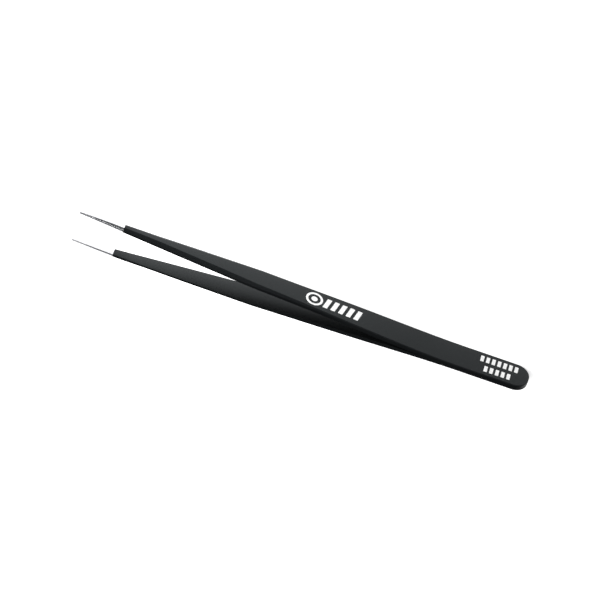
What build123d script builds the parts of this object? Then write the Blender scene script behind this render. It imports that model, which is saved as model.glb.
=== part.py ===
from build123d import *
import os
from math import ceil, radians, tan

# Straight fine-point tweezers with a coated body and bare steel points.
# They lie on the long edges of their leaves: X runs from the points (-X) to the butt (+X), Y is the
# way the marked arm opens, and Z is up, across the width. The origin is the middle of the overall
# box, so the points meet in the plane Y = 0.
# Each leaf is drawn flat, with y across its width and z the way it opens, and every node is turned
# on to its edge as it is written. Sizes are in millimetres. "d" is always the distance from the
# points towards the butt.

# Overall lengths
overall_length = 140.0
contact_length = 20.0
flex_length = 28.0
point_length = 20.0
taper_length = 56.0
widening_start = 62.0

# Form of an arm: the inner face leaves the flat heel, reaches its steepest slope at the front of
# the flexing stretch, and eases off again towards the point
arm_angle = 3.7
tip_angle = 1.7

# Leaf widths and thicknesses in steel
tip_width = 0.3
shoulder_width = 7.6
heel_width = 9.2
taper_fullness = 0.3
tip_thickness = 0.55
arm_thickness = 1.28
heel_thickness = 0.9
butt_radius = 4.15
least_end_flat = 0.3

# Ground bevels along the outer edges of each arm, fading into a small edge break at the heel
bevel_angle = 32.0
bevel_width = 1.15
bevel_tip_width = 0.08
bevel_run_in = 24.0
bevel_fade_start = 38.0
bevel_fade_end = 90.0
edge_break = 0.22

# Coating
coat_thickness = 0.08
bare_length_marked = 13.8
bare_length_plain = 12.8

# Resistance weld nuggets between the leaves
nugget_count = 2
nugget_diameter = 3.0
nugget_height = 0.7
nugget_pitch = 7.0

# Printed marks: a ring with a dot and a row of slanted bars on the arm, two rows of dashes on the heel
ink_thickness = 0.03
ring_diameter = 5.2
ring_line = 0.7
dot_diameter = 1.9
bar_count = 5
bar_width = 1.4
bar_height = 4.0
bar_pitch = 2.4
bar_slant = 12.0
bar_gap = 0.75
arm_print_to_flex = 4.2
heel_print_to_butt = 9.5
dash_pitch = 1.75
dash_length = 1.05
dash_width = 2.4
dash_row_pitch = 3.9
dash_counts = (7, 5)

# Fineness of the lofted leaf
station_pitch = 4.0

# Derived places along the length
leaf_length = overall_length - coat_thickness
contact_start = overall_length - contact_length
flex_front = contact_start - flex_length
hinge_distance = contact_start - flex_length / 2
butt_corner = min(butt_radius, (heel_width - least_end_flat) / 2)
bevel_slope = tan(radians(bevel_angle))
flat_growth = tan(radians(bevel_angle / 2))
side_growth = tan(radians(45 - bevel_angle / 2))
bar_lean = bar_height * tan(radians(bar_slant))
last_bar = flex_front - arm_print_to_flex - (bar_width + bar_lean) / 2
first_bar = last_bar - bar_pitch * (bar_count - 1)
ring_distance = first_bar - (bar_width + ring_diameter) / 2 - bar_gap


def ease(share):
    # 0 to 1 with a level start and end
    share = min(max(share, 0.0), 1.0)
    return share * share * (3 - 2 * share)


def inner_height(d):
    # height of the inner face above the meeting plane
    arm_slope = radians(arm_angle)
    tip_slope = radians(tip_angle)
    if d >= contact_start:
        return 0.0
    if d >= flex_front:
        return arm_slope * (contact_start - d) ** 2 / (2 * flex_length)
    run = flex_front - d
    front_height = arm_slope * flex_length / 2
    return front_height + arm_slope * run - (arm_slope - tip_slope) * run**2 / (2 * flex_front)


def leaf_thickness(d):
    if d < point_length:
        share = 1 - (1 - d / point_length) ** 2
        return tip_thickness + (arm_thickness - tip_thickness) * share
    rear_share = ease((d - flex_front) / flex_length)
    return arm_thickness + (heel_thickness - arm_thickness) * rear_share


def leaf_width(d):
    if d < taper_length:
        share = d / taper_length
        share += taper_fullness * share * (1 - share)
        return tip_width + (shoulder_width - tip_width) * share
    rear_share = ease((d - widening_start) / (contact_start - widening_start))
    return shoulder_width + (heel_width - shoulder_width) * rear_share


def bevel_at(d):
    # plan width of the bevel on each side
    if d < bevel_run_in:
        return bevel_tip_width + (bevel_width - bevel_tip_width) * d / bevel_run_in
    fade = ease((d - bevel_fade_start) / (bevel_fade_end - bevel_fade_start))
    return bevel_width + (edge_break - bevel_width) * fade


def leaf_section(d, grow_outer, grow_inner):
    # six-sided cross-section of the marked leaf: inner face, two sides, two bevels, outer flat
    low = inner_height(d) - grow_inner
    high = inner_height(d) + leaf_thickness(d) + grow_outer
    bevel = bevel_at(d)
    side = inner_height(d) + leaf_thickness(d) - bevel * bevel_slope + grow_outer * side_growth
    half = leaf_width(d) / 2 + grow_outer
    flat_half = leaf_width(d) / 2 - bevel + grow_outer * flat_growth
    right = [(half, low), (half, side), (flat_half, high)]
    left = [(-y, z) for y, z in reversed(right)]
    return Wire.make_polygon([Vector(d, y, z) for y, z in right + left], close=True)


def heel_block(grow_outer, grow_inner):
    # flat heel of the marked leaf with a rounded butt and an edge break round its outer face
    length = leaf_length - contact_start + grow_outer
    width = heel_width + 2 * grow_outer
    height = heel_thickness + grow_outer + grow_inner
    plan = Pos(contact_start + length / 2, 0) * Rectangle(length, width)
    plan = fillet(plan.vertices().group_by(Axis.X)[-1], butt_corner + grow_outer)
    block = Pos(0, 0, -grow_inner) * extrude(plan, height)
    rim = block.faces().sort_by(Axis.Z)[-1].edges().sort_by(Axis.X)[1:]
    rise = edge_break * bevel_slope + grow_outer * (1 - side_growth)
    run = edge_break + grow_outer * (1 - flat_growth)
    top = block.faces().sort_by(Axis.Z)[-1]
    return chamfer(rim, run, rise, reference=top)


def leaf_form(grow_outer, grow_inner):
    # the whole leaf, or the leaf grown by a coat, as one lofted arm joined to its heel
    count = ceil(contact_start / station_pitch)
    stations = [contact_start * step / count for step in range(count + 1)]
    arm = Solid.make_loft([leaf_section(d, grow_outer, grow_inner) for d in stations])
    return arm + heel_block(grow_outer, grow_inner)


def between(form, start, end):
    # the stretch of a form from one distance to another
    slab = Pos((start + end) / 2, 0, 0) * Box(end - start, overall_length, overall_length)
    return form & slab


def nuggets():
    # weld nuggets in a row along the heel, half in each leaf
    middle = (contact_start + leaf_length) / 2
    first = middle - nugget_pitch * (nugget_count - 1) / 2
    disc = Cylinder(nugget_diameter / 2, nugget_height)
    return Part() + [Pos(first + nugget_pitch * step, 0, 0) * disc for step in range(nugget_count)]


def ring_mark():
    # a ring with a dot in its middle
    ring = Circle(ring_diameter / 2) - Circle(ring_diameter / 2 - ring_line)
    return Pos(ring_distance, 0) * (ring + Circle(dot_diameter / 2))


def bar_marks():
    # slanted bars in a row behind the ring
    bars = Sketch()
    for step in range(bar_count):
        front = first_bar + bar_pitch * step - (bar_width + bar_lean) / 2
        low = [(front, -bar_height / 2), (front + bar_width, -bar_height / 2)]
        high = [(x + bar_lean, bar_height / 2) for x, _ in reversed(low)]
        bars += make_face(Polyline(low + high, close=True))
    return bars


def heel_dashes():
    # two rows of dashes across the rounded end
    rows = Sketch()
    for row, count in enumerate(dash_counts):
        across = dash_row_pitch * ((len(dash_counts) - 1) / 2 - row)
        for step in range(count):
            along = overall_length - heel_print_to_butt + dash_pitch * (step - (count - 1) / 2)
            rows += Pos(along, across) * Rectangle(dash_length, dash_width)
    return rows


def printed(marks, coated, inked):
    # ink of even thickness lying on the coat of the marked leaf
    return extrude(marks, overall_length) & (inked - coated)


def write(name, form):
    # moves a finished node from distances along the leaf to the middle of the box, on its edge
    placed = [Rot(X=-90) * Pos(-overall_length / 2, 0, 0) * solid for solid in form.solids()]
    export_step(Compound(placed), f"parts/{name}.step")


def build():
    os.makedirs("parts", exist_ok=True)
    marked_leaf = leaf_form(0, 0)
    plain_leaf = mirror(marked_leaf, about=Plane.XY)
    coated = leaf_form(coat_thickness, coat_thickness)
    coated_heel = leaf_form(coat_thickness, 0)
    inked = leaf_form(coat_thickness + ink_thickness, 0)
    heel_metal = between(marked_leaf, hinge_distance, overall_length)
    welds = nuggets()

    heel_steel = heel_metal - welds
    write("marked_leaf_heel", heel_steel)
    write("plain_leaf_heel", mirror(heel_steel, about=Plane.XY))
    write("weld_nuggets", welds)
    heel_skin = between(coated_heel, hinge_distance, overall_length) - heel_metal
    write("heel_coating", heel_skin + mirror(heel_skin, about=Plane.XY))
    write("heel_print", printed(heel_dashes(), coated_heel, inked))

    marked_arm = between(marked_leaf, 0, hinge_distance)
    write("marked_leaf_arm", marked_arm)
    write("plain_leaf_arm", mirror(marked_arm, about=Plane.XY))
    marked_skin = between(coated, bare_length_marked, hinge_distance) - marked_leaf
    plain_skin = between(coated, bare_length_plain, hinge_distance) - marked_leaf
    write("marked_arm_coating", marked_skin)
    write("plain_arm_coating", mirror(plain_skin, about=Plane.XY))
    write("arm_print_ring", printed(ring_mark(), coated_heel, inked))
    write("arm_print_bars", printed(bar_marks(), coated_heel, inked))


build()
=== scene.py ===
from math import cos, pi, radians, sin, tan
import bmesh
import bpy
from mathutils import Matrix, Vector


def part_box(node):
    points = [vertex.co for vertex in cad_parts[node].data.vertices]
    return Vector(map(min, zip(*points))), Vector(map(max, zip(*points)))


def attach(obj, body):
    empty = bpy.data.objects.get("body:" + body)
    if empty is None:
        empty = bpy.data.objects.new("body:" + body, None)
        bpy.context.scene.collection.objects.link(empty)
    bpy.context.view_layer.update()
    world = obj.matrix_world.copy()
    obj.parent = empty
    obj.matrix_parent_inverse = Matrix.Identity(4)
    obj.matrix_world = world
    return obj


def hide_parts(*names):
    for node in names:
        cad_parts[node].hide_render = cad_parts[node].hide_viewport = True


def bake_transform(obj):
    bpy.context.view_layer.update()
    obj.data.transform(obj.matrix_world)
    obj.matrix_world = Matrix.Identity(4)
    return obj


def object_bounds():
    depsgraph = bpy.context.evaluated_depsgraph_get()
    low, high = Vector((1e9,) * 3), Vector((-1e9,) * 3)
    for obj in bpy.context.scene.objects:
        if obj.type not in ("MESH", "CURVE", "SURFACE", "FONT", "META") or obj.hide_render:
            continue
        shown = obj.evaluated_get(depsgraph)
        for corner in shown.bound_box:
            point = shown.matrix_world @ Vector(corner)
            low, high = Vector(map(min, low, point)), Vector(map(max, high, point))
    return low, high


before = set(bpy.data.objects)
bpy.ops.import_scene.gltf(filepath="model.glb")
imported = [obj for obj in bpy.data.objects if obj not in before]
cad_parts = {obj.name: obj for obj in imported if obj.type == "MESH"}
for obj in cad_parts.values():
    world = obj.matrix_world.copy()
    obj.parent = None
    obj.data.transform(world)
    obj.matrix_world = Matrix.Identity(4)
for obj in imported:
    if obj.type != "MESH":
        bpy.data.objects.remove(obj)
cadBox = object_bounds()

mm = 0.001
frontX, buttX = cadBox[0].x, cadBox[1].x

# the tweezers lie on the edges of their leaves, with the marked arm on the +Y side;
# the camera has a long lens above the marked side, square on to the length, and is turned over
# and rolled so that the butt drops to the right
cameraSetup = {
    "elevation": 48.0,
    "roll": 19.0,
    "away": 1200 * mm,
    "frameWidth": 175.7 * mm,
    "shiftRight": -0.56 * mm,
    "shiftUp": 1.08 * mm,
    "sensor": 36.0,
    "clipFrom": 0.05,
    "clipTo": 20,
}


def makeCamera(s):
    tilt, roll = radians(s["elevation"]), radians(s["roll"])
    level, steep = Vector((1, 0, 0)), Vector((0, sin(tilt), -cos(tilt)))
    right = level * cos(roll) + steep * sin(roll)
    up = steep * cos(roll) - level * sin(roll)
    back = right.cross(up)
    spot = right * s["shiftRight"] + up * s["shiftUp"] + back * s["away"]
    data = bpy.data.cameras.new("camera")
    data.sensor_width = s["sensor"]
    data.lens = s["sensor"] * s["away"] / s["frameWidth"]
    data.clip_start, data.clip_end = s["clipFrom"], s["clipTo"]
    camera = bpy.data.objects.new("camera", data)
    turn = Matrix((right, up, back)).transposed()
    camera.matrix_world = Matrix.Translation(spot) @ turn.to_4x4()
    bpy.context.collection.objects.link(camera)
    bpy.context.scene.camera = camera


makeCamera(cameraSetup)
print("camera set")

# one leaf, drawn flat with z the way it opens and turned on to its edge when it is finished;
# "d" is the distance from the points in millimetres
leaf = {
    "coat": 0.08,
    "contact": 20.0,
    "flex": 28.0,
    "point": 20.0,
    "taper": 56.0,
    "widenFrom": 62.0,
    "armSlope": radians(3.7),
    "tipSlope": radians(1.7),
    "tipWidth": 0.3,
    "shoulderWidth": 7.6,
    "heelWidth": 9.2,
    "fullness": 0.3,
    "tipThick": 0.55,
    "armThick": 1.28,
    "heelThick": 0.9,
    "buttRadius": 4.15,
    "bevelAngle": radians(32),
    "bevel": 1.15,
    "bevelTip": 0.08,
    "bevelRunIn": 24.0,
    "fadeFrom": 38.0,
    "fadeTo": 90.0,
    "edgeBreak": 0.22,
    "seam": 0.012,
    "crisp": radians(14),
    "alongCuts": 104,
    "roundCuts": 18,
}
fullLength = (buttX - frontX) / mm
leaf["length"] = fullLength - leaf["coat"]
leaf["contactFrom"] = fullLength - leaf["contact"]
leaf["flexFrom"] = leaf["contactFrom"] - leaf["flex"]


def ease(t):
    t = min(max(t, 0.0), 1.0)
    return t * t * (3 - 2 * t)


def innerAt(d):
    p = leaf
    if d >= p["contactFrom"]:
        return 0.0
    if d >= p["flexFrom"]:
        return p["armSlope"] * (p["contactFrom"] - d) ** 2 / (2 * p["flex"])
    run = p["flexFrom"] - d
    curl = (p["armSlope"] - p["tipSlope"]) * run * run / (2 * p["flexFrom"])
    return p["armSlope"] * (p["flex"] / 2 + run) - curl


def thickAt(d):
    p = leaf
    if d < p["point"]:
        return p["tipThick"] + (p["armThick"] - p["tipThick"]) * (1 - (1 - d / p["point"]) ** 2)
    return p["armThick"] + (p["heelThick"] - p["armThick"]) * ease((d - p["flexFrom"]) / p["flex"])


def widthAt(d):
    p = leaf
    if d < p["taper"]:
        t = d / p["taper"]
        t += p["fullness"] * t * (1 - t)
        return p["tipWidth"] + (p["shoulderWidth"] - p["tipWidth"]) * t
    t = ease((d - p["widenFrom"]) / (p["contactFrom"] - p["widenFrom"]))
    return p["shoulderWidth"] + (p["heelWidth"] - p["shoulderWidth"]) * t


def bevelAt(d):
    p = leaf
    if d < p["bevelRunIn"]:
        return p["bevelTip"] + (p["bevel"] - p["bevelTip"]) * d / p["bevelRunIn"]
    fade = ease((d - p["fadeFrom"]) / (p["fadeTo"] - p["fadeFrom"]))
    return p["bevel"] + (p["edgeBreak"] - p["bevel"]) * fade


def outerAt(d):
    return innerAt(d) + thickAt(d)


def distanceOf(x):
    return (x - frontX) / mm


def leafForm(grow, low, edge):
    # a long bar of cross-sections, bent and ground to shape; grow is the skin over the steel,
    # low gives the height of the inner face at a distance, edge says how the edges are softened
    p = leaf
    length, half = p["length"] + grow, p["heelWidth"] / 2 + grow
    radius = p["buttRadius"] + grow
    steps = p["alongCuts"] + p["roundCuts"]
    bm = bmesh.new()
    bmesh.ops.create_cube(bm, size=1)
    longEdges = [e for e in bm.edges if abs(e.verts[0].co.x - e.verts[1].co.x) > 0.5]
    bmesh.ops.subdivide_edges(bm, edges=longEdges, cuts=steps - 1, use_grid_fill=True)
    straight = length - radius
    for v in bm.verts:
        step = round((v.co.x + 0.5) * steps)
        side = 1 if v.co.y > 0 else -1
        if step <= p["alongCuts"]:
            v.co.x, v.co.y = straight * step / p["alongCuts"], side * half
        else:
            turn = pi / 2 * (step - p["alongCuts"]) / p["roundCuts"]
            v.co.x = straight + radius * sin(turn)
            v.co.y = side * (half - radius + radius * cos(turn))
    flats = [f for f in bm.faces if f.normal.z > 0.9 and f.calc_center_median().z > 0.4]
    flatGrow, sideGrow = grow * tan(p["bevelAngle"] / 2), grow * tan(pi / 4 - p["bevelAngle"] / 2)
    inset = p["edgeBreak"] + grow - flatGrow
    bmesh.ops.inset_region(bm, faces=flats, thickness=inset, use_even_offset=True)
    onFlat = {v for f in flats for v in f.verts}
    for v in bm.verts:
        d = v.co.x
        side = 1 if v.co.y > 0 else -1
        if v in onFlat:
            if d < straight:
                v.co.y = side * (widthAt(d) / 2 - bevelAt(d) + flatGrow)
            height = outerAt(d) + grow
        else:
            if d < straight:
                v.co.y = side * (widthAt(d) / 2 + grow)
            rim = outerAt(d) - bevelAt(d) * tan(p["bevelAngle"]) + sideGrow
            height = rim if v.co.z > 0 else low(d)
        v.co.z = height
    bmesh.ops.recalc_face_normals(bm, faces=bm.faces)
    crisp = [e for e in bm.edges if len(e.link_faces) == 2 and e.calc_face_angle() > p["crisp"]]
    bmesh.ops.bevel(bm, geom=crisp, offset=edge["rounding"], offset_type="OFFSET", affect="EDGES",
                    segments=edge["segments"], profile=0.5, material=-1, clamp_overlap=True)
    bmesh.ops.scale(bm, vec=(mm, mm, mm), verts=bm.verts)
    bmesh.ops.translate(bm, vec=(frontX, 0, 0), verts=bm.verts)
    return bm


sharpFrom = radians(30)  # edges that turn more than this stay crisp


def finishPiece(name, bm, material):
    bmesh.ops.rotate(bm, cent=(0, 0, 0), matrix=Matrix.Rotation(-pi / 2, 3, "X"), verts=bm.verts)
    mesh = bpy.data.meshes.new(name)
    for f in bm.faces:
        f.smooth = True
    bm.to_mesh(mesh)
    bm.free()
    mesh.set_sharp_from_angle(angle=sharpFrom)
    mesh.materials.append(material)
    piece = bpy.data.objects.new(name, mesh)
    bpy.context.collection.objects.link(piece)
    return piece


def flipOver(bm):
    # turns a form of the marked leaf into one of the plain leaf
    bmesh.ops.scale(bm, vec=(1, 1, -1), verts=bm.verts)
    bmesh.ops.reverse_faces(bm, faces=bm.faces)


def nodeMaterial(name, base, metallic, roughness):
    material = bpy.data.materials.new(name)
    material.use_nodes = True
    nodes, links = material.node_tree.nodes, material.node_tree.links
    shader = nodes["Principled BSDF"]
    shader.inputs["Base Color"].default_value = (*base, 1)
    shader.inputs["Metallic"].default_value = metallic
    shader.inputs["Roughness"].default_value = roughness
    place = nodes.new("ShaderNodeTexCoord")
    return material, nodes, links, shader, place.outputs["Object"]


def addNoise(nodes, links, source, scale, detail, stretch=(1, 1, 1)):
    mapping = nodes.new("ShaderNodeMapping")
    mapping.inputs["Scale"].default_value = stretch
    noise = nodes.new("ShaderNodeTexNoise")
    noise.inputs["Scale"].default_value = scale
    noise.inputs["Detail"].default_value = detail
    links.new(source, mapping.inputs["Vector"])
    links.new(mapping.outputs["Vector"], noise.inputs["Vector"])
    return noise.outputs["Fac"]


def spread(nodes, links, fac, low, high, fromLow=0.3, fromHigh=0.7):
    scale = nodes.new("ShaderNodeMapRange")
    scale.inputs["From Min"].default_value = fromLow
    scale.inputs["From Max"].default_value = fromHigh
    scale.inputs["To Min"].default_value = low
    scale.inputs["To Max"].default_value = high
    links.new(fac, scale.inputs["Value"])
    return scale.outputs["Result"]


def mixColours(nodes, links, fac, first, second):
    mix = nodes.new("ShaderNodeMix")
    mix.data_type = "RGBA"
    links.new(fac, mix.inputs["Factor"])
    for socket, colour in ((mix.inputs["A"], first), (mix.inputs["B"], second)):
        if isinstance(colour, tuple):
            socket.default_value = (*colour, 1)
        else:
            links.new(colour, socket)
    return mix.outputs["Result"]


def addBump(nodes, links, height, distance, shader, under=None):
    bump = nodes.new("ShaderNodeBump")
    bump.inputs["Distance"].default_value = distance
    links.new(height, bump.inputs["Height"])
    if under:
        links.new(under, bump.inputs["Normal"])
    links.new(bump.outputs["Normal"], shader.inputs["Normal"])
    return bump.outputs["Normal"]


coating = {
    "dark": (0.0045, 0.005, 0.0055),
    "light": (0.0065, 0.007, 0.0075),
    "specular": 0.2,
    "tint": (0.86, 0.97, 1.0),
    "rough": 0.45,
    "roughLow": 0.37,
    "roughHigh": 0.47,
    "grainScale": 5200,
    "grainDepth": 0.007 * mm,
    "swellScale": 620,
    "swellDepth": 0.006 * mm,
    "cloudScale": 120,
}


def makeCoating(s):
    material, nodes, links, shader, place = nodeMaterial("satinBlackCoat", s["dark"], 0, s["rough"])
    shader.inputs["Specular IOR Level"].default_value = s["specular"]
    shader.inputs["Specular Tint"].default_value = (*s["tint"], 1)
    grain = addNoise(nodes, links, place, s["grainScale"], detail=3)
    swell = addNoise(nodes, links, place, s["swellScale"], detail=2)
    cloud = addNoise(nodes, links, place, s["cloudScale"], detail=3)
    colour = mixColours(nodes, links, spread(nodes, links, cloud, 0, 1), s["dark"], s["light"])
    links.new(colour, shader.inputs["Base Color"])
    rough = spread(nodes, links, grain, s["roughLow"], s["roughHigh"])
    links.new(rough, shader.inputs["Roughness"])
    under = addBump(nodes, links, swell, s["swellDepth"], shader)
    addBump(nodes, links, grain, s["grainDepth"], shader, under)
    return material


steel = {
    "light": (0.80, 0.80, 0.81),
    "dark": (0.66, 0.66, 0.68),
    "rough": 0.2,
    "roughLow": 0.14,
    "roughHigh": 0.26,
    "lineScale": 900,
    "lineDepth": 0.0012 * mm,
    "lineStretch": (0.06, 8, 8),
    "markScale": 260,
}


def makeSteel(s):
    material, nodes, links, shader, place = nodeMaterial("groundSteel", s["light"], 1, s["rough"])
    lines = addNoise(nodes, links, place, s["lineScale"], detail=4, stretch=s["lineStretch"])
    marks = addNoise(nodes, links, place, s["markScale"], detail=2)
    colour = mixColours(nodes, links, spread(nodes, links, marks, 0, 1), s["dark"], s["light"])
    links.new(colour, shader.inputs["Base Color"])
    rough = spread(nodes, links, lines, s["roughLow"], s["roughHigh"])
    links.new(rough, shader.inputs["Roughness"])
    addBump(nodes, links, lines, s["lineDepth"], shader)
    return material


ink = {
    "light": (0.95, 0.95, 0.94),
    "dark": (0.87, 0.87, 0.87),
    "rough": 0.5,
    "roughLow": 0.42,
    "roughHigh": 0.6,
    "grainScale": 4200,
    "grainDepth": 0.003 * mm,
    "patchScale": 900,
}


def makeInk(s):
    material, nodes, links, shader, place = nodeMaterial("whiteInk", s["light"], 0, s["rough"])
    grain = addNoise(nodes, links, place, s["grainScale"], detail=3)
    patch = addNoise(nodes, links, place, s["patchScale"], detail=2)
    colour = mixColours(nodes, links, spread(nodes, links, patch, 0, 1), s["dark"], s["light"])
    links.new(colour, shader.inputs["Base Color"])
    links.new(spread(nodes, links, grain, s["roughLow"], s["roughHigh"]), shader.inputs["Roughness"])
    addBump(nodes, links, grain, s["grainDepth"], shader)
    return material


coatMaterial = makeCoating(coating)
steelMaterial = makeSteel(steel)
inkMaterial = makeInk(ink)
print("materials made")

# steel leaves
steelEdge = {"rounding": 0.025, "segments": 2}


def makeLeaf(name, plain, nodes):
    bm = leafForm(0, lambda d: innerAt(d) + leaf["seam"], steelEdge)
    if plain:
        flipOver(bm)
    piece = finishPiece(name, bm, steelMaterial)
    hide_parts(*nodes)
    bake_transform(piece)
    return piece


makeLeaf("markedLeaf", False, ["marked_leaf_arm", "marked_leaf_heel"])
makeLeaf("plainLeaf", True, ["plain_leaf_arm", "plain_leaf_heel"])
print("leaves made")

# coating, a thin closed skin over each leaf from the bare point to the butt
coatEdge = {"rounding": 0.09, "segments": 4, "clearance": 0.004}


def cutFront(bm, x):
    everything = bm.verts[:] + bm.edges[:] + bm.faces[:]
    bmesh.ops.bisect_plane(bm, geom=everything, plane_co=(x, 0, 0), plane_no=(-1, 0, 0), clear_outer=True)


def makeCoat(name, plain, nodes, frontNode):
    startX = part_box(frontNode)[0].x
    thin, gap = leaf["coat"], coatEdge["clearance"]
    outside = leafForm(thin, lambda d: max(innerAt(d) - thin, gap), coatEdge)
    inside = leafForm(gap, lambda d: innerAt(d) + leaf["seam"] - gap, steelEdge)
    cutFront(outside, startX)
    cutFront(inside, startX)
    bmesh.ops.reverse_faces(inside, faces=inside.faces)
    lining = bpy.data.meshes.new("lining")
    inside.to_mesh(lining)
    inside.free()
    outside.from_mesh(lining)
    bpy.data.meshes.remove(lining)
    rims = [e for e in outside.edges if e.is_boundary]
    bridge = bmesh.ops.bridge_loops(outside, edges=rims)
    print(name, "rim edges", len(rims), "bridged", len(bridge["faces"]))
    if plain:
        flipOver(outside)
    bmesh.ops.recalc_face_normals(outside, faces=outside.faces)
    piece = finishPiece(name, outside, coatMaterial)
    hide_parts(*nodes)
    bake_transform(piece)
    return piece


makeCoat("markedCoat", False, ["marked_arm_coating", "heel_coating"], "marked_arm_coating")
makeCoat("plainCoat", True, ["plain_arm_coating", "heel_coating"], "plain_arm_coating")
print("coats made")

# printed marks, raised by the thickness of the ink
printing = {
    "ink": 0.022,
    "lift": 0.003,
    "ring": 5.2,
    "line": 0.7,
    "dot": 1.9,
    "bars": 5,
    "barWidth": 1.4,
    "barHeight": 4.0,
    "barPitch": 2.4,
    "barSlant": radians(12),
    "dashPitch": 1.75,
    "dashLength": 1.05,
    "dashWidth": 2.4,
    "rowPitch": 3.9,
    "rows": (7, 5),
    "corner": 0.12,
    "cornerSteps": 4,
    "ringSteps": 96,
    "dotSteps": 64,
}


def raiseMarks(bm):
    # thickens flat marks lying at z = 0 and drapes them on the coat
    p = printing
    made = bmesh.ops.extrude_face_region(bm, geom=bm.faces[:])
    top = [g for g in made["geom"] if isinstance(g, bmesh.types.BMVert)]
    bmesh.ops.translate(bm, vec=(0, 0, 1), verts=top)
    for v in bm.verts:
        skin = outerAt(v.co.x) + leaf["coat"] + p["lift"]
        v.co.z = skin + (p["ink"] if v.co.z > 0.5 else 0)
    bmesh.ops.recalc_face_normals(bm, faces=bm.faces)
    bmesh.ops.scale(bm, vec=(mm, mm, mm), verts=bm.verts)
    bmesh.ops.translate(bm, vec=(frontX, 0, 0), verts=bm.verts)


def addBlock(bm, x, y, length, width, lean=0):
    # one rounded block of ink
    block = bmesh.ops.create_grid(bm, x_segments=1, y_segments=1, size=0.5)["verts"]
    bmesh.ops.scale(bm, vec=(length, width, 1), verts=block)
    for v in block:
        v.co.x += v.co.y * lean
    bmesh.ops.translate(bm, vec=(x, y, 0), verts=block)
    bmesh.ops.bevel(bm, geom=block, offset=printing["corner"], affect="VERTICES",
                    segments=printing["cornerSteps"], profile=0.5, material=-1)


def makeRing():
    p = printing
    low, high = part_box("arm_print_ring")
    middle = distanceOf((low.x + high.x) / 2)
    bm = bmesh.new()
    edges = []
    for radius in (p["ring"] / 2, p["ring"] / 2 - p["line"]):
        circle = bmesh.ops.create_circle(bm, cap_ends=False, segments=p["ringSteps"], radius=radius)
        edges += list({e for v in circle["verts"] for e in v.link_edges})
    bmesh.ops.bridge_loops(bm, edges=edges)
    bmesh.ops.create_circle(bm, cap_ends=True, segments=p["dotSteps"], radius=p["dot"] / 2)
    bmesh.ops.translate(bm, vec=(middle, 0, 0), verts=bm.verts)
    raiseMarks(bm)
    piece = finishPiece("armRingMark", bm, inkMaterial)
    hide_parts("arm_print_ring")
    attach(piece, "marked_arm")


def makeBars():
    p = printing
    low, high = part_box("arm_print_bars")
    middle = distanceOf((low.x + high.x) / 2)
    bm = bmesh.new()
    for step in range(p["bars"]):
        x = middle + p["barPitch"] * (step - (p["bars"] - 1) / 2)
        addBlock(bm, x, 0, p["barWidth"], p["barHeight"], tan(p["barSlant"]))
    raiseMarks(bm)
    piece = finishPiece("armBarMarks", bm, inkMaterial)
    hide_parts("arm_print_bars")
    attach(piece, "marked_arm")


def makeDashes():
    p = printing
    low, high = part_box("heel_print")
    middle = distanceOf((low.x + high.x) / 2)
    bm = bmesh.new()
    for row, count in enumerate(p["rows"]):
        y = p["rowPitch"] * ((len(p["rows"]) - 1) / 2 - row)
        for step in range(count):
            x = middle + p["dashPitch"] * (step - (count - 1) / 2)
            addBlock(bm, x, y, p["dashLength"], p["dashWidth"])
    raiseMarks(bm)
    piece = finishPiece("heelDashMarks", bm, inkMaterial)
    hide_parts("heel_print")
    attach(piece, "heel")


makeRing()
makeBars()
makeDashes()
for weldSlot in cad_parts["weld_nuggets"].material_slots:
    weldSlot.material = steelMaterial
print("marks made")

# floor and light
studio = {
    "floorColour": (0.9, 0.9, 0.9),
    "rough": 0.9,
    "specular": 0.1,
    "glowColour": (1, 1, 1),
    "floorGlow": 0.69,
    "worldColour": (0.9, 0.95, 1.0),
    "worldStrength": 0.1,
    "pointGlow": 0.8,
    "riseFrom": -0.060,
    "riseTo": -0.050,
    "fadeFrom": -0.07,
    "fadeTo": 0.035,
    "fadeGain": 1.36,
    "tableSize": 3,
    "clearance": 0.02 * mm,
}


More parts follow.
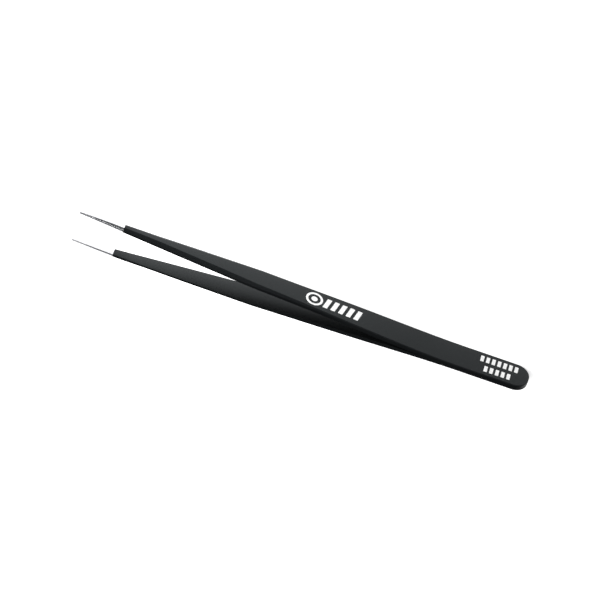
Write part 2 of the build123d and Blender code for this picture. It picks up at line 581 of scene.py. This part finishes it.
def makeFloor(s):
    # a light table, brightest under the front of the arms and dimmer under the bare points, so that
    # they stand out
    bm = bmesh.new()
    bmesh.ops.create_grid(bm, x_segments=1, y_segments=1, size=s["tableSize"])
    bmesh.ops.translate(bm, vec=(0, 0, cadBox[0].z - s["clearance"]), verts=bm.verts)
    mesh = bpy.data.meshes.new("bench")
    bm.to_mesh(mesh)
    bm.free()
    material, nodes, links, shader, place = nodeMaterial("paleBench", s["floorColour"], 0, s["rough"])
    shader.inputs["Specular IOR Level"].default_value = s["specular"]
    shader.inputs["Emission Color"].default_value = (*s["glowColour"], 1)
    split = nodes.new("ShaderNodeSeparateXYZ")
    links.new(place, split.inputs["Vector"])
    bright, dim = s["floorGlow"] + s["fadeGain"], s["floorGlow"]
    fade = spread(nodes, links, split.outputs["X"], bright, dim, s["fadeFrom"], s["fadeTo"])
    rise = spread(nodes, links, split.outputs["X"], s["pointGlow"], bright, s["riseFrom"], s["riseTo"])
    glow = nodes.new("ShaderNodeMath")
    glow.operation = "MINIMUM"
    links.new(fade, glow.inputs[0])
    links.new(rise, glow.inputs[1])
    links.new(glow.outputs["Value"], shader.inputs["Emission Strength"])
    mesh.materials.append(material)
    bench = bpy.data.objects.new("bench", mesh)
    bpy.context.collection.objects.link(bench)


lamps = [
    {
        "name": "frontSoftbox",
        "spot": (-0.3, 0.35, 0.9),
        "aim": (0, 0, 0),
        "size": (0.9, 0.5),
        "watts": 8.5,
    },
    {
        "name": "plainPointCard",
        "spot": (-0.078, -0.041, 0.032),
        "aim": (-0.066, -0.005, 0),
        "size": (0.03, 0.012),
        "watts": 0.0012,
    },
]


def addLamp(lamp):
    data = bpy.data.lights.new(lamp["name"], "AREA")
    data.shape = "RECTANGLE"
    data.size, data.size_y = lamp["size"]
    data.energy = lamp["watts"]
    spot, aim = Vector(lamp["spot"]), Vector(lamp["aim"])
    light = bpy.data.objects.new(lamp["name"], data)
    light.location = spot
    light.rotation_euler = (aim - spot).to_track_quat("-Z", "Y").to_euler()
    bpy.context.collection.objects.link(light)


makeFloor(studio)
world = bpy.data.worlds.new("studio")
world.use_nodes = True
world.node_tree.nodes["Background"].inputs["Color"].default_value = (*studio["worldColour"], 1)
world.node_tree.nodes["Background"].inputs["Strength"].default_value = studio["worldStrength"]
bpy.context.scene.world = world
bpy.context.scene.view_settings.view_transform = "Standard"
for lamp in lamps:
    addLamp(lamp)
print("stage set")

bpy.context.view_layer.update()
